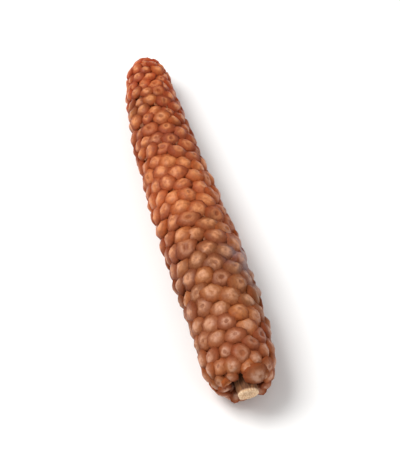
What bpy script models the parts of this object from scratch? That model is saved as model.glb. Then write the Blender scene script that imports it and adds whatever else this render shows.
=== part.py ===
"""A dried long pepper lying on its side: one fruiting spike, and the pale stub of its stalk.

The spike is a slim blunt body covered with small berries that have grown together. They stand on one spiral,
and each is pressed against those 5, 9 and 14 places further along it. The stub of the stalk is a piece of
another colour, and stands in a hole in the hollow of the blunt end.
+X runs from the stalk to the tip and +Z is up. The origin is on the surface, below the middle of the whole.
"""

import math
import random

import bmesh
import bpy
import numpy as np
from mathutils import Vector, kdtree, noise

MM = 0.001

# Outline of the spike over the tops of its berries: distance from the rim and radius, in millimetres.
# It runs from the middle of the hollow round the stalk, over the rim, to the tip.
OUTLINE = (
    (1.0, 0.0),
    (0.85, 1.1),
    (0.0, 2.1),
    (0.7, 3.05),
    (1.9, 3.6),
    (5.5, 3.98),
    (12.5, 4.15),
    (20.0, 4.0),
    (27.0, 3.65),
    (33.5, 3.3),
    (40.0, 2.75),
    (44.3, 1.95),
    (46.0, 0.0),
)
SPIKE_LENGTH = 46.0 * MM

# Middle line of the spike: distance from the rim, sideways place and height, in millimetres. The heights
# follow the radius, so that the underside lies along the surface.
MIDDLE_LINE = (
    (0.0, 0.0, 3.68),
    (12.0, -0.1, 3.76),
    (24.0, 0.5, 3.48),
    (36.0, 0.6, 2.92),
    (46.0, 0.05, 2.43),
)
SPAN_POINTS = 24

# The spiral. A berry touches those FEW and MANY places on, and the one FEW + MANY places on.
FEW, MANY = 5, 9
GIRTH_BERRIES = math.sqrt(FEW**2 + FEW * MANY + MANY**2)
FEW_TURN = -(MANY + FEW / 2) / GIRTH_BERRIES**2
MANY_TURN = (FEW + MANY / 2) / GIRTH_BERRIES**2
SPIRAL_TURN = (7 + MANY_TURN) / MANY
LEAST_SPACING = 1.25 * MM
CELL_SHARE = math.sin(math.radians(60))

# A berry, as shares of the spacing between berries.
DOME_RADIUS = 0.6
GROOVE_DEPTH = 0.4
UNEVEN_HEIGHT = 0.06
FALLEN_BERRIES = (13,)
SWOLLEN_BERRIES = {17: 1.6}
SWOLLEN_LIFT = 0.4
FIRST_BERRY = 6

# Shrivelling: how far the skin and the rows of berries stray, and over what length.
SWELL = 0.022
SWELL_LENGTH = 7.0 * MM
STRAY = 0.22 * MM
STRAY_LENGTH = 5.0 * MM
# The first seed draws the berries' heights. The second fixes the noise that moves the rows, which would
# otherwise start from the clock.
SEED = 11
NOISE_SEED = 1795835047

# Corners of the skin's mesh from one berry to the next, along a row of every FEWth berry and from row to row.
# Midway between two rows, every other corner slides to the pit where three berries meet. PIT_SLIDE is how
# far, as a share of the way to the next berry and of the way to the next row.
ROW_STEPS = 4
CROSS_STEPS = 2
PIT_SLIDE = (1 / 12, 1 / 6)
SHARP_EDGE = math.radians(50)
NEAR_BERRIES = 4

STALK_RADIUS = 1.1 * MM
STALK_REACH = 1.2 * MM
STALK_DEPTH = 4.0 * MM
STALK_SIDES = 20
STALK_RINGS = 5
STALK_RIBS = 5
STALK_RIB_SHARE = 0.07
BREAK_SLANT = 0.2
FIT_GAP = 0.3 * MM

CUTTER_SIZE = 60.0 * MM
WELD = 0.5e-6

WHOLE_LENGTH = SPIKE_LENGTH + STALK_REACH
RIM_X = STALK_REACH - WHOLE_LENGTH / 2

BERRY_COLOR = (0.42, 0.17, 0.07, 1.0)
BERRY_ROUGHNESS = 0.55
STALK_COLOR = (0.62, 0.38, 0.21, 1.0)
STALK_ROUGHNESS = 0.8


def clear_scene():
    for obj in list(bpy.data.objects):
        bpy.data.objects.remove(obj)


def new_collection(name):
    collection = bpy.data.collections.new(name)
    bpy.context.scene.collection.children.link(collection)
    return collection


def new_object(name, bm, collection, material=None):
    """An object that holds the mesh, shaded smooth but for its sharp edges."""
    mesh = bpy.data.meshes.new(name)
    bm.to_mesh(mesh)
    bm.free()
    mesh.shade_smooth()
    mesh.set_sharp_from_angle(angle=SHARP_EDGE)
    if material:
        mesh.materials.append(material)
    obj = bpy.data.objects.new(name, mesh)
    collection.objects.link(obj)
    return obj


def new_material(name, color, roughness):
    material = bpy.data.materials.new(name)
    material.use_nodes = True
    shader = material.node_tree.nodes["Principled BSDF"]
    shader.inputs["Base Color"].default_value = color
    shader.inputs["Roughness"].default_value = roughness
    shader.inputs["Metallic"].default_value = 0.0
    return material


def curve_through(points):
    """Points on a smooth curve. It passes through all but the first and last, which only steer its ends."""
    knots = [Vector(p) for p in points]
    made = []
    for a, b, c, d in zip(knots, knots[1:], knots[2:], knots[3:]):
        # Centripetal Catmull-Rom: each span gets time by the root of its length, so that it never loops.
        before, span, after = ((q - p).length ** 0.5 for p, q in ((a, b), (b, c), (c, d)))
        leave = (b - a) / before - (c - a) / (before + span) + (c - b) / span
        reach = (c - b) / span - (d - b) / (span + after) + (d - c) / after
        for k in range(SPAN_POINTS):
            u = k / SPAN_POINTS
            made.append(
                b * (2 * u**3 - 3 * u**2 + 1)
                + leave * span * (u**3 - 2 * u**2 + u)
                + c * (3 * u**2 - 2 * u**3)
                + reach * span * (u**3 - u**2)
            )
    made.append(knots[-2])
    return np.array(made)


def outline_curve():
    """The outline in metres, meeting the middle line square at both ends."""
    (x_in, r_in), (x_out, r_out) = OUTLINE[1], OUTLINE[-2]
    return curve_through(((x_in, -r_in), *OUTLINE, (x_out, -r_out))) * MM


def middle_curve():
    """The middle line in metres, its ends carried straight on."""
    first, second = Vector(MIDDLE_LINE[0]), Vector(MIDDLE_LINE[1])
    last, previous = Vector(MIDDLE_LINE[-1]), Vector(MIDDLE_LINE[-2])
    return curve_through((2 * first - second, *MIDDLE_LINE, 2 * last - previous)) * MM


class Skin:
    """The smooth skin over the tops of the berries. A place on it is a berry count and a turn."""

    def __init__(self):
        self.x, self.radius = outline_curve().T
        step = np.hypot(np.diff(self.x), np.diff(self.radius))
        along = np.concatenate([[0], np.cumsum(step)])
        self.slope_x = np.gradient(self.x, along)
        self.slope_radius = np.gradient(self.radius, along)
        self.slope_x[[0, -1]] = 0.0
        girth = 2 * np.pi * self.radius
        self.spacing = np.maximum(girth / GIRTH_BERRIES, LEAST_SPACING)
        density = girth / (CELL_SHARE * self.spacing**2)
        added = step * (density[1:] + density[:-1]) / 2
        self.count = np.concatenate([[0], np.cumsum(added)])
        self.middle = middle_curve()

    @property
    def berries(self):
        return int(self.count[-1])

    def at(self, values, count):
        return float(np.interp(count, self.count, values))

    def strayed(self, count, turn):
        """The place, moved a little off the spiral by the shrivelling."""
        radius, angle = self.at(self.radius, count), math.tau * turn
        point = Vector((self.at(self.x, count), radius * math.cos(angle), radius * math.sin(angle)))
        stray = noise.noise_vector(point / STRAY_LENGTH) * STRAY
        fade = min(1.0, radius / (2 * LEAST_SPACING))
        girth = max(math.tau * radius, LEAST_SPACING)
        berry_length = CELL_SHARE * self.at(self.spacing, count) ** 2 / girth
        return count + fade * stray.x / berry_length, turn + fade * stray.y / girth

    def place(self, count, turn):
        """(point on the skin, direction straight out of it, spacing of the berries there)."""
        if 0 < count < self.count[-1]:
            count, turn = self.strayed(count, turn)
        angle = math.tau * turn
        x, radius = self.at(self.x, count), self.at(self.radius, count)
        out = Vector((0.0, math.cos(angle), math.sin(angle)))
        swell = noise.noise((Vector((x, 0, 0)) + out * radius) / SWELL_LENGTH)
        point = Vector((x, 0, 0)) + out * radius * (1 + SWELL * swell)
        point.y += float(np.interp(x, self.middle[:, 0], self.middle[:, 1]))
        point.z += float(np.interp(x, self.middle[:, 0], self.middle[:, 2]))
        point.x += RIM_X
        normal = out * self.at(self.slope_x, count) - Vector((self.at(self.slope_radius, count), 0, 0))
        return point, normal.normalized(), self.at(self.spacing, count)


class Berries:
    """The berries on the skin, and how high they stand at any point of it."""

    def __init__(self, skin):
        draw = random.Random(SEED)
        self.kept = []
        for number in range(FIRST_BERRY, skin.berries):
            point, _, spacing = skin.place(number, number * SPIRAL_TURN)
            swelling = SWOLLEN_BERRIES.get(number, 1.0)
            lift = draw.uniform(-UNEVEN_HEIGHT, UNEVEN_HEIGHT) + SWOLLEN_LIFT * (swelling - 1)
            if number not in FALLEN_BERRIES:
                self.kept.append((point, spacing * swelling, lift * spacing))
        self.tree = kdtree.KDTree(len(self.kept))
        for index, (point, _, _) in enumerate(self.kept):
            self.tree.insert(point, index)
        self.tree.balance()

    def height(self, point, spacing):
        """Height of the domes over the skin, below zero in the grooves between them."""
        highest = -GROOVE_DEPTH * spacing
        for _, index, distance in self.tree.find_n(point, NEAR_BERRIES):
            _, own_spacing, lift = self.kept[index]
            dome = DOME_RADIUS * own_spacing
            if distance < dome:
                highest = max(highest, math.sqrt(dome**2 - distance**2) - dome + lift)
        return highest


def spike_mesh():
    """A grid wound round the skin, its corners on and between the berries, and raised by their height."""
    skin = Skin()
    berries = Berries(skin)
    columns = MANY * ROW_STEPS
    first_row = -FEW
    last_row = math.ceil(skin.count[-1] / MANY)
    rows = (last_row - first_row) * CROSS_STEPS
    bm = bmesh.new()
    bmesh.ops.create_grid(bm, x_segments=columns, y_segments=rows, size=0.5)
    for vert in bm.verts:
        column, row = round((vert.co.x + 0.5) * columns), round((vert.co.y + 0.5) * rows)
        few, many = column / ROW_STEPS, first_row + row / CROSS_STEPS
        if column % 2 and row % CROSS_STEPS:
            side = 1 if column % ROW_STEPS == 1 else -1
            few += side * PIT_SLIDE[0]
            many += side * PIT_SLIDE[1]
        count = min(max(few * FEW + many * MANY, 0.0), skin.count[-1])
        turn = few * FEW_TURN + many * MANY_TURN
        point, normal, spacing = skin.place(count, turn)
        vert.co = point + normal * berries.height(point, spacing)
    # The winding's edges meet after one turn, and its first and last rows shrink to the two poles.
    bmesh.ops.remove_doubles(bm, verts=bm.verts, dist=WELD)
    bmesh.ops.triangulate(bm, faces=bm.faces, quad_method="SHORT_EDGE")
    bmesh.ops.recalc_face_normals(bm, faces=bm.faces)
    return bm


def cylinder_along_x(start, end, radius, sides):
    """A closed cylinder whose middle line runs along X."""
    bm = bmesh.new()
    bmesh.ops.create_cone(
        bm, cap_ends=True, segments=sides, radius1=radius, radius2=radius, depth=end - start
    )
    for vert in bm.verts:
        vert.co = Vector((vert.co.z + (start + end) / 2, vert.co.y, -vert.co.x))
    return bm


def stalk_mesh():
    """A ribbed peg with a slanted break at its outer end."""
    bm = cylinder_along_x(-STALK_REACH, STALK_DEPTH, STALK_RADIUS, STALK_SIDES)
    long_edges = [e for e in bm.edges if abs(e.verts[0].co.x - e.verts[1].co.x) > STALK_REACH]
    bmesh.ops.subdivide_edges(bm, edges=long_edges, cuts=STALK_RINGS)
    bmesh.ops.triangulate(bm, faces=[f for f in bm.faces if len(f.verts) > 4])
    for vert in bm.verts:
        angle = math.atan2(vert.co.z, vert.co.y)
        ribbed = 1 - STALK_RIB_SHARE * (1 + math.cos(STALK_RIBS * angle)) / 2
        vert.co.y *= ribbed
        vert.co.z *= ribbed
        if vert.co.x < -STALK_REACH / 2:
            vert.co.x += BREAK_SLANT * (STALK_RADIUS - vert.co.z)
    return bm


def cut(obj, cutter, name):
    cutter.hide_render = True
    cutter.display_type = "WIRE"
    modifier = obj.modifiers.new(name, "BOOLEAN")
    modifier.operation = "DIFFERENCE"
    modifier.object = cutter


def main():
    clear_scene()
    noise.seed_set(NOISE_SEED)
    parts = new_collection("long_pepper")
    cutters = new_collection("cutters")
    base_middle = Vector((RIM_X, MIDDLE_LINE[0][1] * MM, MIDDLE_LINE[0][2] * MM))

    berry_skin = new_material("dried_berries", BERRY_COLOR, BERRY_ROUGHNESS)
    spike = new_object("fruit_spike", spike_mesh(), parts, berry_skin)
    stalk_wood = new_material("pale_stalk", STALK_COLOR, STALK_ROUGHNESS)
    stalk = new_object("stalk", stalk_mesh(), parts, stalk_wood)
    stalk.location = base_middle

    socket_end = STALK_DEPTH + FIT_GAP
    socket = new_object(
        "stalk_socket",
        cylinder_along_x(-STALK_DEPTH, socket_end, STALK_RADIUS + FIT_GAP, STALK_SIDES),
        cutters,
    )
    socket.location = base_middle
    cut(spike, socket, "socket")

    ground = bmesh.new()
    bmesh.ops.create_cube(ground, size=CUTTER_SIZE)
    floor = new_object("surface_below", ground, cutters)
    floor.location.z = -CUTTER_SIZE / 2
    cut(spike, floor, "flat_spots")


main()
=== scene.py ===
# %% [markdown]
# # A dried long pepper, berry by berry
#
# Long pepper is the fruiting spike of a climbing vine. Hundreds of tiny berries grow pressed together on one
# slim stem, and the spike is picked and dried whole. It could be made as a smooth cone with a bumpy texture,
# but its outline and its pits would be wrong from close by. So every berry here is a shape of its own.
#
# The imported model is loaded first. It is the fixed frame: it gives the spike's size and place, and the new
# pieces keep to it.

# %% Load the frame
import math
import random

import bmesh
import bpy
import numpy as np
from mathutils import Matrix, Vector, noise


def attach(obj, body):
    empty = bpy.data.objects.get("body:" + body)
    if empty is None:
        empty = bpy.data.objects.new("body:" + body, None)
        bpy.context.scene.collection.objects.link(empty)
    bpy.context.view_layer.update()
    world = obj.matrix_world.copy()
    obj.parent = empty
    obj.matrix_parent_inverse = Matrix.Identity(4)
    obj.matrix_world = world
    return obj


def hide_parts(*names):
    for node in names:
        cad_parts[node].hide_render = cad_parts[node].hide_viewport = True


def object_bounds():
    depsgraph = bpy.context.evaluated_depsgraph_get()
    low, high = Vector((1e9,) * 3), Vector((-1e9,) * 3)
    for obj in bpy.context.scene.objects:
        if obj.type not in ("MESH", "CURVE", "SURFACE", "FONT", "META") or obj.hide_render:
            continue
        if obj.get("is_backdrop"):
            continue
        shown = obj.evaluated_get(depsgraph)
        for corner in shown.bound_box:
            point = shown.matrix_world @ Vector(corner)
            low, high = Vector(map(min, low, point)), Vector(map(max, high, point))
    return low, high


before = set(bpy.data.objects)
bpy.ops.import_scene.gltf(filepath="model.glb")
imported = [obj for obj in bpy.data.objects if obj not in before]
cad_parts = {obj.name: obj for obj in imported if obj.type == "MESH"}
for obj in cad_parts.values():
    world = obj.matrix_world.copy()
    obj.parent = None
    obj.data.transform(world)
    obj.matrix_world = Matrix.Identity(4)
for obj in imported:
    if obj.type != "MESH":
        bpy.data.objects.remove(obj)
cad_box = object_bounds()
MM = 0.001
print("nodes", sorted(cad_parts))

# %% [markdown]
# ## Working by hand, in code
#
# Blender's operators act on whatever is selected, so each step first says what that is. These helpers select
# objects, select faces in edit mode by a test, and push the selected face outwards while it grows or shrinks.
# That last one is how most of the pieces are drawn out of a short cylinder.

# %% Helpers for modelling
def only(*objects):
    """Select just these objects, with the first one active."""
    bpy.ops.object.select_all(action="DESELECT")
    for obj in objects:
        obj.select_set(True)
    bpy.context.view_layer.objects.active = objects[0]


def named(name):
    """Name the object that an operator has just added."""
    obj = bpy.context.object
    obj.name = obj.data.name = name
    return obj


def pick_faces(obj, test):
    """In edit mode, select just the faces that pass the test."""
    bpy.ops.mesh.select_mode(type="FACE")
    bpy.ops.mesh.select_all(action="DESELECT")
    edited = bmesh.from_edit_mesh(obj.data)
    for face in edited.faces:
        if test(face):
            face.select_set(True)
    bmesh.update_edit_mesh(obj.data)


def draw_out(start, end, ratio):
    """Extrude the selected face from start to end, and scale it there."""
    bpy.ops.mesh.extrude_region_move(TRANSFORM_OT_translate={"value": Vector(end) - Vector(start)})
    bpy.ops.transform.resize(value=(ratio, ratio, ratio), center_override=end)


def apply_modifier(obj, kind, **settings):
    only(obj)
    modifier = obj.modifiers.new(kind.title(), kind)
    for name, value in settings.items():
        setattr(modifier, name, value)
    bpy.ops.object.modifier_apply(modifier=modifier.name)


def crumple(obj, size, strength):
    """Push the surface in and out by a soft cloudy noise whose lumps are about this size."""
    texture = bpy.data.textures.new(obj.name + "_crumple", "CLOUDS")
    texture.noise_scale = size
    apply_modifier(obj, "DISPLACE", texture=texture, strength=strength, mid_level=0.5)


# %% [markdown]
# ## The skin and its spiral
#
# A spike's berries don't stand in rings. They follow one another round the stem by a fixed part of a turn,
# so that each one is pressed against those 5, 9 and 14 places further along. The same outline, middle line
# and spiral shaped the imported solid, so they are written out again here, and the berries land on its bumps.

# %% Outline, middle line and spiral
# Distance from the rim and radius over the berries' tops, in millimetres, from the hollow round the stalk,
# over the rim, to the tip.
OUTLINE = (
    (1.0, 0.0),
    (0.85, 1.1),
    (0.0, 2.1),
    (0.7, 3.05),
    (1.9, 3.6),
    (5.5, 3.98),
    (12.5, 4.15),
    (20.0, 4.0),
    (27.0, 3.65),
    (33.5, 3.3),
    (40.0, 2.75),
    (44.3, 1.95),
    (46.0, 0.0),
)
# Distance from the rim, sideways place and height, in millimetres.
MIDDLE_LINE = (
    (0.0, 0.0, 3.68),
    (12.0, -0.1, 3.76),
    (24.0, 0.5, 3.48),
    (36.0, 0.6, 2.92),
    (46.0, 0.05, 2.43),
)
SPAN_POINTS = 24
SPIKE_LENGTH = 46.0 * MM
STALK_RADIUS, STALK_REACH, BREAK_SLANT = 1.1 * MM, 1.2 * MM, 0.2
RIM_X = STALK_REACH - (SPIKE_LENGTH + STALK_REACH) / 2

FEW, MANY = 5, 9
GIRTH_BERRIES = math.sqrt(FEW**2 + FEW * MANY + MANY**2)
FEW_TURN = -(MANY + FEW / 2) / GIRTH_BERRIES**2
MANY_TURN = (FEW + MANY / 2) / GIRTH_BERRIES**2
# MANY places on, the spiral has gone this many times round, and MANY_TURN more.
WHOLE_TURNS = 7
SPIRAL_TURN = (WHOLE_TURNS + MANY_TURN) / MANY
LEAST_SPACING = 1.25 * MM
# Skin that one berry takes, as a share of the spacing squared, when they are packed closest.
CELL_SHARE = math.sin(math.radians(60))

# Shrivelling: how far the skin and the rows of berries stray, and over what length.
SWELL, SWELL_LENGTH = 0.022, 7.0 * MM
STRAY, STRAY_LENGTH = 0.22 * MM, 5.0 * MM
# The noise that moves the rows would otherwise start from the clock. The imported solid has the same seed.
NOISE_SEED = 1795835047
noise.seed_set(NOISE_SEED)


def curve_through(points):
    """Points on a smooth curve. It passes through all but the first and last, which only steer its ends."""
    knots = [Vector(p) for p in points]
    made = []
    for a, b, c, d in zip(knots, knots[1:], knots[2:], knots[3:]):
        before, span, after = ((q - p).length ** 0.5 for p, q in ((a, b), (b, c), (c, d)))
        leave = (b - a) / before - (c - a) / (before + span) + (c - b) / span
        reach = (c - b) / span - (d - b) / (span + after) + (d - c) / after
        for k in range(SPAN_POINTS):
            u = k / SPAN_POINTS
            made.append(
                b * (2 * u**3 - 3 * u**2 + 1)
                + leave * span * (u**3 - 2 * u**2 + u)
                + c * (3 * u**2 - 2 * u**3)
                + reach * span * (u**3 - u**2)
            )
    made.append(knots[-2])
    return np.array(made) * MM


first, second, *_, previous, last = (Vector(p) for p in MIDDLE_LINE)
middle = curve_through((2 * first - second, *MIDDLE_LINE, 2 * last - previous))
(x_in, r_in), (x_out, r_out) = OUTLINE[1], OUTLINE[-2]
skin_x, skin_radius = curve_through(((x_in, -r_in), *OUTLINE, (x_out, -r_out))).T
step = np.hypot(np.diff(skin_x), np.diff(skin_radius))
along = np.concatenate([[0], np.cumsum(step)])
slope_x, slope_radius = np.gradient(skin_x, along), np.gradient(skin_radius, along)
skin_spacing = np.maximum(math.tau * skin_radius / GIRTH_BERRIES, LEAST_SPACING)
density = math.tau * skin_radius / (CELL_SHARE * skin_spacing**2)
skin_count = np.concatenate([[0], np.cumsum(step * (density[1:] + density[:-1]) / 2)])
print(f"the spiral has {int(skin_count[-1])} places, {skin_spacing.max() / MM:.2f} mm apart at the thickest")


def at(values, count):
    return float(np.interp(count, skin_count, values))


def middle_at(x):
    """The middle line's point at this distance from the rim."""
    return Vector((x + RIM_X, *(float(np.interp(x, middle[:, 0], middle[:, k])) for k in (1, 2))))


def place(count, turn):
    """(point on the skin, direction straight out of it, spacing of the berries) at a place on the spiral."""
    radius, angle = at(skin_radius, count), math.tau * turn
    point = Vector((at(skin_x, count), radius * math.cos(angle), radius * math.sin(angle)))
    stray = noise.noise_vector(point / STRAY_LENGTH) * STRAY
    fade = min(1.0, radius / (2 * LEAST_SPACING))
    girth = max(math.tau * radius, LEAST_SPACING)
    count += fade * stray.x * girth / (CELL_SHARE * at(skin_spacing, count) ** 2)
    angle += math.tau * fade * stray.y / girth
    x, radius = at(skin_x, count), at(skin_radius, count)
    out = Vector((0.0, math.cos(angle), math.sin(angle)))
    swell = noise.noise((Vector((x, 0, 0)) + out * radius) / SWELL_LENGTH)
    normal = out * at(slope_x, count) - Vector((at(slope_radius, count), 0, 0))
    return middle_at(x) + out * radius * (1 + SWELL * swell), normal.normalized(), at(skin_spacing, count)


# %% [markdown]
# ## Colours and nodes
#
# The colours are read as sRGB hex values, as a painter's colour picker gives them, and Blender wants them
# linear. One function does that, and one more adds a node with its settings and links. Four small ones on
# top of it lay one colour over another, turn a value into a share, make a noise and measure a distance, so
# that a material reads as a short list. Patterns use Object coordinates, so their scales are real lengths.

# %% Helpers for materials
def colour(code):
    """Linear RGBA of an sRGB hex colour."""
    channels = (int(code[k : k + 2], 16) / 255 for k in (1, 3, 5))
    return (*(c / 12.92 if c <= 0.04045 else ((c + 0.055) / 1.055) ** 2.4 for c in channels), 1.0)


def new_material(name):
    material = bpy.data.materials.new(name)
    material.use_nodes = True
    return material, material.node_tree, material.node_tree.nodes["Principled BSDF"]


def add(tree, kind, inputs=None, stops=(), **settings):
    """Add a node. A value in inputs is set on that socket, and an output socket is linked to it."""
    made = tree.nodes.new(kind)
    for name, value in settings.items():
        setattr(made, name, value)
    for socket, value in (inputs or {}).items():
        if isinstance(value, bpy.types.NodeSocket):
            tree.links.new(value, made.inputs[socket])
        else:
            made.inputs[socket].default_value = value
    for k, (position, shade) in enumerate(stops):
        elements = made.color_ramp.elements
        element = elements[k] if k < 2 else elements.new(position)
        element.position, element.color = position, shade
    return made


# The sockets for colours on a mixing node, which has others for numbers and vectors.
FACTOR, FIRST, SECOND, MIXED = 0, 6, 7, 2


def blend(tree, share, under, over, how="MIX"):
    """Lay one colour over another, by a share that is a number or a socket."""
    mixed = add(tree, "ShaderNodeMix", {FACTOR: share, FIRST: under, SECOND: over},
                data_type="RGBA", blend_type=how)
    return mixed.outputs[MIXED]


def share_of(tree, value, low, high, most=1.0, least=0.0):
    """How far a value is from low to high, as a share that runs from least to most."""
    return add(tree, "ShaderNodeMapRange", {0: value, 1: low, 2: high, 3: least, 4: most}).outputs[0]


def cloud_of(tree, where, size, detail=2.0):
    """A noise whose clouds are about this size."""
    clouds = add(tree, "ShaderNodeTexNoise", {"Vector": where, "Scale": 1 / size, "Detail": detail})
    return clouds.outputs["Fac"]


def away_from(tree, where, point):
    """Distance from this point."""
    return add(tree, "ShaderNodeVectorMath", {0: where, 1: point}, operation="DISTANCE").outputs["Value"]


# %% [markdown]
# ## Dried berry skin
#
# The skin is the pericarp of a small stone fruit, dried hard in the sun. It keeps a trace of wax, so its
# crowns glint softly, while the grooves are dull and deepen to an ochre brown that is partly the skin's colour
# and partly painted shade. The crowns are painted paler, partly as worn skin and partly as painted highlight.
# The tip of the spike ripened last and stays orange. The thick end is browner, with olive patches and a grey
# patch on one flank that is partly a bloom of wax and partly a painted sheen, and the hollow round the stalk
# is painted dark as painted shade. A smooth gradient along the spike would look painted, so two noises and
# each berry's own tone break it up. Three attributes on the berries help: how high a point stands, its
# berry's tone, and the scar that the flower left on its crown.

# %% Material: dried pericarp
skin_material, tree, shader = new_material("dried_pericarp")
where = add(tree, "ShaderNodeTexCoord").outputs["Object"]
height = add(tree, "ShaderNodeAttribute", attribute_name="height").outputs["Fac"]
tone = add(tree, "ShaderNodeAttribute", attribute_name="tone").outputs["Fac"]
scar = add(tree, "ShaderNodeAttribute", attribute_name="scar").outputs["Fac"]

# From the stalk to the tip: tan, dull brown, orange tan, then a clear rusty orange.
x = add(tree, "ShaderNodeSeparateXYZ", {0: where}).outputs["X"]
body = add(tree, "ShaderNodeValToRGB", {0: share_of(tree, x, RIM_X, RIM_X + SPIKE_LENGTH)}, stops=(
    (0.0, colour("#A5623B")),
    (1.0, colour("#C04C0E")),
    (0.3, colour("#83502D")),
    (0.5, colour("#BA6638")),
    (0.75, colour("#9C491D")),
)).outputs["Color"]

# Olive patches a few berries wide, where the fruit was still green, and red-brown ones, where it was ripe.
PATCH_SIZE = 4.5 * MM
olive = share_of(tree, cloud_of(tree, where, PATCH_SIZE), 0.52, 0.7, most=0.5)
body = blend(tree, olive, body, colour("#74521E"))
shifted = add(tree, "ShaderNodeVectorMath", {0: where, 1: (0.05, 0.02, 0.0)},
              operation="ADD").outputs["Vector"]
ripe = share_of(tree, cloud_of(tree, shifted, PATCH_SIZE), 0.52, 0.7, most=0.45)
body = blend(tree, ripe, body, colour("#8A3A24"))

# Every berry is a little paler or redder than the next.
body = blend(tree, share_of(tree, tone, 0.6, 1.0, most=0.4), body, colour("#C87A40"))
body = blend(tree, share_of(tree, tone, 0.35, 0.0, most=0.35), body, colour("#7E341A"))

# Mottling finer than a berry.
mottle = share_of(tree, cloud_of(tree, where, 0.4 * MM, detail=4.0), 0.4, 0.66, most=0.4)
body = blend(tree, mottle, body, colour("#6E3516"))

# Grooves are darkened to an ochre brown, partly the skin's own colour and partly painted shade. Crowns are
# painted paler in flecks, partly worn skin and partly painted highlight, and pinker and duller towards the
# stalk.
rise = add(tree, "ShaderNodeMapRange", {0: height, 1: 0.1, 2: 0.95},
           interpolation_type="SMOOTHSTEP").outputs[0]
# The multiplied groove colour is partly painted shade.
groove_colour_and_shade = blend(tree, 1.0, body, colour("#D8B274"), how="MULTIPLY")
shade = blend(tree, rise, groove_colour_and_shade, body)
fleck = share_of(tree, cloud_of(tree, shifted, 0.5 * MM), 0.36, 0.6, least=0.1, most=0.6)
# The pale crown colour is partly a painted highlight.
crown_wear_and_highlight = blend(tree, share_of(tree, x, RIM_X + 22 * MM, RIM_X), colour("#E49862"), colour("#CFA188"))
shade = blend(tree, share_of(tree, height, 0.68, 1.0, most=fleck), shade, crown_wear_and_highlight)
shade = blend(tree, share_of(tree, scar, 0.0, 1.0, most=0.4), shade, colour("#6E371B"))

# A grey patch on the right flank, a third of the way along: partly a bloom of wax and dust, partly a painted
# sheen.
WAX_AND_SHEEN_MIDDLE = Vector((RIM_X + 14 * MM, -4.2 * MM, 5.0 * MM))
distance = away_from(tree, where, WAX_AND_SHEEN_MIDDLE)
wax_and_sheen = share_of(tree, cloud_of(tree, shifted, 1.5 * MM, detail=5.0), 0.4, 0.62, most=0.55)
shade = blend(tree, share_of(tree, distance, 4.5 * MM, 1.0 * MM, most=wax_and_sheen), shade, colour("#A2979C"))

# The hollow round the stalk is painted almost black-brown, as painted shade.
HOLLOW_SHADE_MIDDLE = middle_at(1.2 * MM)
distance = away_from(tree, where, HOLLOW_SHADE_MIDDLE)
shade = blend(tree, share_of(tree, distance, 1.9 * MM, 1.2 * MM, most=0.85), shade, colour("#3A1608"))
tree.links.new(shade, shader.inputs["Base Color"])

# Waxy crowns and dull grooves.
tree.links.new(share_of(tree, rise, 0.0, 1.0, least=0.8, most=0.38), shader.inputs["Roughness"])
shader.inputs["IOR"].default_value = 1.45
shader.inputs["Specular IOR Level"].default_value = 0.3

# Wrinkles of the dried skin, about a quarter of a millimetre apart.
wrinkles = cloud_of(tree, where, 0.28 * MM, detail=5.0)
bump = add(tree, "ShaderNodeBump", {"Strength": 0.8, "Distance": 0.12 * MM, "Height": wrinkles})
tree.links.new(bump.outputs["Normal"], shader.inputs["Normal"])
print("made", skin_material.name)

# %% [markdown]
# ## Axis, bracts and stalk
#
# Under the berries is the stem of the spike, which shows only as darkness at the bottom of the pits. Its
# near-black brown is partly its dried colour and partly painted shade. Beside each berry is the little papery
# bract that it grew behind, dried to a brown shield. The stub of the stalk has brown bark with fibres along
# it, and where it snapped, its pale pith shows.

# %% Materials: axis, bract and stalk
axis_material, tree, shader = new_material("axis_tissue_and_pit_shade")
where = add(tree, "ShaderNodeTexCoord").outputs["Object"]
cloud = cloud_of(tree, where, 0.6 * MM, detail=3.0)
# The near-black brown is partly the stem's dried colour and partly painted shade for the bottom of the pits.
tree.links.new(blend(tree, cloud, colour("#331307"), colour("#5C2810")), shader.inputs["Base Color"])
shader.inputs["Roughness"].default_value = 0.9
bump = add(tree, "ShaderNodeBump", {"Strength": 0.5, "Distance": 0.05 * MM, "Height": cloud})
tree.links.new(bump.outputs["Normal"], shader.inputs["Normal"])

bract_material, tree, shader = new_material("papery_bract")
where = add(tree, "ShaderNodeTexCoord").outputs["Object"]
cloud = cloud_of(tree, where, 0.5 * MM)
tree.links.new(blend(tree, cloud, colour("#5E2C12"), colour("#94552A")), shader.inputs["Base Color"])
shader.inputs["Roughness"].default_value = 0.75

stalk_material, tree, shader = new_material("snapped_dry_stalk")
where = add(tree, "ShaderNodeTexCoord").outputs["Object"]
# Fibres 0.15 mm thick and twenty times as long.
drawn = add(tree, "ShaderNodeMapping", {"Vector": where, "Scale": (0.05, 1.0, 1.0)}).outputs[0]
fibre = cloud_of(tree, drawn, 0.15 * MM, detail=3.0)
streak = share_of(tree, fibre, 0.35, 0.65)
pith = blend(tree, streak, colour("#CBA078"), colour("#F0D2AE"))
bark = blend(tree, streak, colour("#5A3218"), colour("#8A5A34"))
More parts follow.
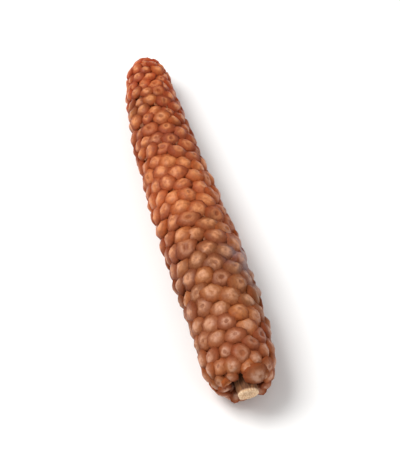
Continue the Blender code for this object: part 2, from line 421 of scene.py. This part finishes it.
# The slanting break is where x and BREAK_SLANT times z come to one sum. Pith shows there, and bark behind it.
break_top = middle_at(-STALK_REACH) + Vector((0, 0, STALK_RADIUS))
break_sum = break_top.x + BREAK_SLANT * break_top.z
split = add(tree, "ShaderNodeSeparateXYZ", {0: where})
place_sum = add(tree, "ShaderNodeMath", {0: split.outputs["Z"], 1: BREAK_SLANT, 2: split.outputs["X"]},
                operation="MULTIPLY_ADD").outputs[0]
shade = blend(tree, share_of(tree, place_sum, break_sum + 0.1 * MM, break_sum + 0.35 * MM), pith, bark)
tree.links.new(shade, shader.inputs["Base Color"])
shader.inputs["Roughness"].default_value = 0.8
bump = add(tree, "ShaderNodeBump", {"Strength": 0.7, "Distance": 0.08 * MM, "Height": fibre})
tree.links.new(bump.outputs["Normal"], shader.inputs["Normal"])
print("made", axis_material.name, bract_material.name, stalk_material.name)

# %% [markdown]
# ## Three kinds of berry
#
# A dried berry is a low dome that has grown together with its neighbours at its waist. Most are plump. Some
# show the small ring where the flower's stigma was, and a few have sunk in over a seed that never filled.
# Each kind starts as a short flared cylinder, whose top face is drawn out ring by ring. Everything is in
# shares of the berries' spacing, so one drawing serves every size. Hundreds of copies follow, so it has
# few faces.

# %% Model: three kinds of berry
BERRY_SIDES = 10
ROOT = (0.4, -0.62)
WAIST = (0.6, -0.25)
CROWN_HEIGHT = 0.0
# Radius and height of each further ring, up to the crown.
BERRY_KINDS = {
    "plump": ((0.48, -0.16), (0.34, -0.08), (0.2, -0.01), (0.08, CROWN_HEIGHT)),
    "ringed": ((0.48, -0.155), (0.33, -0.085), (0.14, -0.01), (0.08, -0.04)),
    "sunken": ((0.48, -0.15), (0.35, -0.065), (0.2, -0.04), (0.1, -0.085)),
}
SCARRED = ("ringed",)
SCAR_RADIUS = 0.1


def flared(name, sides, low, high):
    """A flared cylinder from one (radius, height) up to another."""
    (r_low, z_low), (r_high, z_high) = low, high
    bpy.ops.mesh.primitive_cone_add(vertices=sides, radius1=r_low, radius2=r_high, depth=z_high - z_low,
                                    location=(0, 0, (z_low + z_high) / 2))
    bpy.ops.object.transform_apply(location=True)
    return named(name)


def mark(obj, name, value_at):
    """Store a value for every vertex, worked out from its place."""
    data = obj.data.attributes.new(name, "FLOAT", "POINT").data
    data.foreach_set("value", [float(value_at(v.co)) for v in obj.data.vertices])


def berry_of(kind):
    berry = flared(kind, BERRY_SIDES, ROOT, WAIST)
    bpy.ops.object.mode_set(mode="EDIT")
    pick_faces(berry, lambda face: face.normal.z > 0.9)
    radius, top = WAIST
    for new_radius, new_top in BERRY_KINDS[kind]:
        draw_out((0, 0, top), (0, 0, new_top), new_radius / radius)
        radius, top = new_radius, new_top
    bpy.ops.object.mode_set(mode="OBJECT")
    bpy.ops.object.shade_smooth()
    berry.data.materials.append(skin_material)
    mark(berry, "height", lambda co: min(max((co.z - WAIST[1]) / (CROWN_HEIGHT - WAIST[1]), 0.0), 1.0))
    mark(berry, "scar", lambda co: kind in SCARRED and math.hypot(co.x, co.y) < SCAR_RADIUS)
    mark(berry, "tone", lambda co: 0.5)
    return berry


bpy.ops.object.select_all(action="DESELECT")
berry_kinds = {kind: berry_of(kind) for kind in BERRY_KINDS}
print({kind: len(berry.data.polygons) for kind, berry in berry_kinds.items()}, "faces")

# %% [markdown]
# ## All the berries
#
# Each copy gets its own mesh, lumps, tilt, size, place and tone, from one seeded draw, because no two berries
# shrivel alike. The copies are then joined. The lowest ones are pressed flat where they meet the surface,
# as scaling to nothing along Z does. A berry of the rim has fallen out and leaves a dark notch, and one
# beside it has swollen into the room, so that it hangs over the stub of the stalk.

# %% Model: the berries
# Lengths here are shares of the spacing.
LUMP_SIZE, LUMP = 0.45, 0.09
LIFT, TILT = 0.05, math.radians(10)
STRAY_SHARE = 0.1
SIZES = (0.9, 1.14)
# How often each kind is drawn, in their order above.
KIND_SHARES = (6, 3, 1)
FALLEN_BERRIES = (13,)
SWOLLEN_BERRIES = {17: 1.8}
# For each doubling: how far it rises, and how far it leans from the skin to the middle line.
SWOLLEN_LIFT, SWOLLEN_LEAN = 0.6, 0.25
STALK_ROOM = 0.25 * MM
draw = random.Random(11)


def either_way(most):
    return draw.uniform(-most, most)


def berry_at(number):
    """A copy of a berry, shrivelled its own way, at its place on the spiral."""
    point, out, spacing = place(number, number * SPIRAL_TURN)
    kind = draw.choices(list(berry_kinds), KIND_SHARES)[0]
    model = berry_kinds["plump" if number in SWOLLEN_BERRIES else kind]
    obj = model.copy()
    obj.data = model.data.copy()
    bpy.context.scene.collection.objects.link(obj)
    offset = Vector((number, 0.0, 0.0))
    for vertex in obj.data.vertices:
        vertex.co += noise.noise_vector(vertex.co / LUMP_SIZE + offset) * LUMP
    swelling = SWOLLEN_BERRIES.get(number, 1.0)
    size = spacing * swelling
    point = point.lerp(middle_at(at(skin_x, number)), SWOLLEN_LEAN * (swelling - 1))
    leaning = Vector((either_way(TILT), either_way(TILT), either_way(TILT)))
    stray = Vector((either_way(STRAY_SHARE), either_way(STRAY_SHARE), either_way(LIFT)))
    stray.z += SWOLLEN_LIFT * (swelling - 1)
    obj.data.transform(
        Matrix.Translation(point)
        @ (out + leaning).to_track_quat("Z", "X").to_matrix().to_4x4()
        @ Matrix.Translation(stray * spacing)
        @ Matrix.Rotation(draw.uniform(0, math.tau), 4, "Z")
        @ Matrix.Diagonal((size * draw.uniform(*SIZES), size * draw.uniform(*SIZES), size, 1.0))
    )
    tone_data = obj.data.attributes["tone"].data
    tone_data.foreach_set("value", [draw.random()] * len(tone_data))
    return obj


# The first berry is the first that leaves room round the stalk.
first_berry = next(n for n in range(100) if at(skin_radius, n) > STALK_RADIUS + STALK_ROOM)
numbers = [n for n in range(first_berry, int(skin_count[-1]) + 1) if n not in FALLEN_BERRIES]
copies = [berry_at(n) for n in numbers]
for berry in berry_kinds.values():
    bpy.data.objects.remove(berry)
only(*copies)
bpy.ops.object.join()
berries = named("berries")
crumple(berries, size=0.55 * MM, strength=0.12 * MM)


def press_flat(obj):
    """Flatten what would reach through the surface."""
    only(obj)
    bpy.ops.object.mode_set(mode="EDIT")
    bpy.ops.mesh.select_mode(type="VERT")
    bpy.ops.mesh.select_all(action="DESELECT")
    edited = bmesh.from_edit_mesh(obj.data)
    for vertex in edited.verts:
        vertex.select_set(vertex.co.z < 0)
    bmesh.update_edit_mesh(obj.data)
    bpy.ops.transform.resize(value=(1, 1, 0), center_override=(0, 0, 0))
    bpy.ops.object.mode_set(mode="OBJECT")


press_flat(berries)
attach(berries, "root")
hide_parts("fruit_spike")
print(f"{len(numbers)} berries from number {first_berry}, {len(berries.data.polygons)} faces")

# %% [markdown]
# ## The axis under them
#
# The stem of the spike is drawn out of a short cylinder too, section by section along the middle line, a
# little under the berries' waists. At the thick end the face is shrunk and drawn out as a low lip, then
# shrunk again and pushed in, which makes the hollow that the stalk comes out of.

# %% Model: the axis
AXIS_SIDES, AXIS_SECTIONS = 32, 26
AXIS_DEPTH = 0.4
AXIS_START, AXIS_END = 1.2 * MM, 45.2 * MM
FIRST_DEPTH = 0.2 * MM
LIP_WIDTH, LIP_HEIGHT = 0.9 * MM, 0.4 * MM
HOLLOW_WALL, HOLLOW_DEPTH = 0.5 * MM, 1.0 * MM
outer = skin_x[np.argmin(skin_x) :], skin_radius[np.argmin(skin_x) :], skin_spacing[np.argmin(skin_x) :]


def axis_section(distance):
    """(middle, radius) of the axis at a distance from the rim."""
    depth = AXIS_DEPTH * float(np.interp(distance, outer[0], outer[2]))
    return middle_at(distance), float(np.interp(distance, outer[0], outer[1])) - depth


distances = np.linspace(AXIS_START, AXIS_END, AXIS_SECTIONS)
middle_point, radius = axis_section(distances[0])
bpy.ops.mesh.primitive_cylinder_add(vertices=AXIS_SIDES, radius=radius, depth=FIRST_DEPTH,
                                    location=middle_point, rotation=(0, math.radians(90), 0))
bpy.ops.object.transform_apply(location=True, rotation=True)
axis = named("axis")
bpy.ops.object.mode_set(mode="EDIT")
pick_faces(axis, lambda face: face.normal.x > 0.9)
for distance in distances[1:]:
    next_point, next_radius = axis_section(distance)
    draw_out(middle_point, next_point, next_radius / radius)
    middle_point, radius = next_point, next_radius
pick_faces(axis, lambda face: face.normal.x < -0.9)
bpy.ops.mesh.inset(thickness=LIP_WIDTH)
bpy.ops.transform.translate(value=(-LIP_HEIGHT, 0, 0))
bpy.ops.mesh.inset(thickness=HOLLOW_WALL)
bpy.ops.transform.translate(value=(HOLLOW_DEPTH, 0, 0))
bpy.ops.object.mode_set(mode="OBJECT")
bpy.ops.object.shade_smooth()
axis.data.materials.append(axis_material)
crumple(axis, size=0.8 * MM, strength=0.2 * MM)
press_flat(axis)
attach(axis, "root")
print(f"the axis has {len(axis.data.polygons)} faces")

# %% [markdown]
# ## The bracts between them
#
# Each bract is a small round shield on a foot. It sits in a pit where three berries meet, on the stalk side
# of its own berry, and is mostly hidden. One is modelled, as a thin flared disc with a turned-in crown.

# %% Model: the bracts
BRACT_SIDES = 8
BRACT_DEPTH, BRACT_STRAY = 0.27, 0.05
bract = flared("bract", BRACT_SIDES, (0.06, -0.2), (0.19, -0.02))
bpy.ops.object.mode_set(mode="EDIT")
pick_faces(bract, lambda face: face.normal.z > 0.9)
draw_out((0, 0, -0.02), (0, 0, 0.02), 0.85)
draw_out((0, 0, 0.02), (0, 0, -0.01), 0.4)
bpy.ops.object.mode_set(mode="OBJECT")
bpy.ops.object.shade_smooth()
bract.data.materials.append(bract_material)


def bract_at(number):
    """A copy of the bract in the pit on the stalk side of this berry."""
    point, out, spacing = place(number - (2 * FEW + MANY) / 3,
                                number * SPIRAL_TURN - (2 * FEW_TURN + MANY_TURN) / 3)
    obj = bract.copy()
    obj.data = bract.data.copy()
    bpy.context.scene.collection.objects.link(obj)
    leaning = Vector((draw.uniform(-0.4, 0.1), either_way(0.3), either_way(0.3)))
    turned = (out + leaning).to_track_quat("Z", "X").to_matrix().to_4x4()
    depth = (BRACT_DEPTH + either_way(BRACT_STRAY)) * spacing
    obj.data.transform(Matrix.Translation(point - out * depth) @ turned @ Matrix.Scale(spacing, 4))
    return obj


bract_numbers = [n for n in numbers if n > first_berry + MANY]
copies = [bract_at(n) for n in bract_numbers]
bpy.data.objects.remove(bract)
only(*copies)
bpy.ops.object.join()
bracts = named("bracts")
press_flat(bracts)
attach(bracts, "root")
print(f"{len(bract_numbers)} bracts, {len(bracts.data.polygons)} faces")

# %% [markdown]
# ## The stub of the stalk
#
# The stalk snapped off close to the spike. It is a cylinder, cut across once near its broken end, which is
# inset twice to leave a torn edge round the pith. Subdividing and crumpling then give it furrows and
# splinters.

# %% Model: the stalk
STALK_SIDES = 20
STALK_START, STALK_END = -STALK_REACH, 3.6 * MM
STALK_SHRINK = 0.97
CUT_PLACE = 0.9 * MM
BARK_EDGE, BARK_STEP = 0.22 * MM, 0.1 * MM
PITH_EDGE, PITH_DEPTH = 0.35 * MM, 0.25 * MM
base = middle_at(0.0)
bpy.ops.mesh.primitive_cylinder_add(vertices=STALK_SIDES, radius=STALK_RADIUS * STALK_SHRINK,
                                    depth=STALK_END - STALK_START,
                                    location=base + Vector(((STALK_START + STALK_END) / 2, 0, 0)),
                                    rotation=(0, math.radians(90), 0))
bpy.ops.object.transform_apply(location=True, rotation=True)
stalk = named("stalk_stub")
bpy.ops.object.mode_set(mode="EDIT")
bpy.ops.mesh.select_all(action="SELECT")
bpy.ops.mesh.bisect(plane_co=base + Vector((STALK_START + CUT_PLACE, 0, 0)), plane_no=(1, 0, 0))
pick_faces(stalk, lambda face: face.normal.x < -0.9)
bpy.ops.mesh.inset(thickness=BARK_EDGE)
bpy.ops.transform.translate(value=(-BARK_STEP, 0, 0))
bpy.ops.mesh.inset(thickness=PITH_EDGE)
bpy.ops.transform.translate(value=(PITH_DEPTH, 0, 0))
# The outer half is sheared, so that the break slants.
edited = bmesh.from_edit_mesh(stalk.data)
for vertex in edited.verts:
    if vertex.co.x < base.x - STALK_REACH / 2:
        vertex.co.x += BREAK_SLANT * (base.z + STALK_RADIUS - vertex.co.z)
bmesh.update_edit_mesh(stalk.data)
bpy.ops.object.mode_set(mode="OBJECT")
bpy.ops.object.shade_smooth()
stalk.data.materials.append(stalk_material)
apply_modifier(stalk, "SUBSURF", levels=2, render_levels=2, subdivision_type="SIMPLE")
crumple(stalk, size=0.45 * MM, strength=0.25 * MM)
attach(stalk, "root")
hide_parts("stalk")
print(f"the stalk has {len(stalk.data.polygons)} faces")

# %% [markdown]
# ## Table, light and camera
#
# The spike lies on a plain pale table under a large soft lamp, high on the far left, with a weaker one on the
# right and a bright room around. The camera looks down along the spike from its stalk end, so that the tip
# is at the upper left, as in the photograph. A long lens keeps the near end from looking too large.

# %% Table
# It is a hair below the flats of the lowest berries.
TABLE_SIZE, TABLE_DROP = 1.6, 0.02 * MM
bpy.ops.mesh.primitive_plane_add(size=TABLE_SIZE, location=(0, 0, -TABLE_DROP))
table = named("table")
table_material, tree, shader = new_material("white_table")
shader.inputs["Base Color"].default_value = colour("#F4F3F1")
shader.inputs["Roughness"].default_value = 0.85
table.data.materials.append(table_material)
table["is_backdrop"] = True


# %% Lights
def lamp(name, direction, distance, size, power):
    """A square lamp that faces the spike."""
    bpy.ops.object.light_add(type="AREA", location=Vector(direction).normalized() * distance)
    obj = bpy.context.object
    obj.name = name
    obj.data.size, obj.data.energy = size, power
    obj.rotation_euler = (-obj.location).to_track_quat("-Z", "Y").to_euler()


lamp("key", (0.28, 0.6, 1.0), 0.45, 0.28, 2.0)
lamp("fill", (-0.6, -0.5, 0.6), 0.5, 0.4, 0.45)
world = bpy.data.worlds.new("bright_room")
world.use_nodes = True
world.node_tree.nodes["Background"].inputs["Color"].default_value = colour("#F6F7F9")
world.node_tree.nodes["Background"].inputs["Strength"].default_value = 0.57
bpy.context.scene.world = world
bpy.context.scene.view_settings.view_transform = "Standard"

# %% Camera
CAMERA_ELEVATION = math.radians(52)
CAMERA_YAW = math.radians(13.7)
CAMERA_LENS, SENSOR = 250.0, 36.0
FRAME_HEIGHT = 48 * MM
# The middle of the frame.
target = Vector((-1.1 * MM, -0.4 * MM, 3.0 * MM))
back = Vector((
    -math.cos(CAMERA_ELEVATION) * math.cos(CAMERA_YAW),
    math.cos(CAMERA_ELEVATION) * math.sin(CAMERA_YAW),
    math.sin(CAMERA_ELEVATION),
))
bpy.ops.object.camera_add(location=target + back * FRAME_HEIGHT * CAMERA_LENS / SENSOR)
camera = bpy.context.object
camera.rotation_euler = (-back).to_track_quat("-Z", "Y").to_euler()
camera.data.lens, camera.data.sensor_width = CAMERA_LENS, SENSOR
camera.data.clip_start, camera.data.clip_end = 0.01, 10.0
bpy.context.scene.camera = camera

# %% [markdown]
# ## The size
#
# The finished spike is meant to fill the same box as the imported solid. How far each side of its box has
# moved from the imported one is printed, in millimetres.

# %% Sizes
visual_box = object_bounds()
moved = [[round((v - c) / MM, 2) for v, c in zip(*pair)] for pair in zip(visual_box, cad_box)]
print("box moved by, mm:", moved)
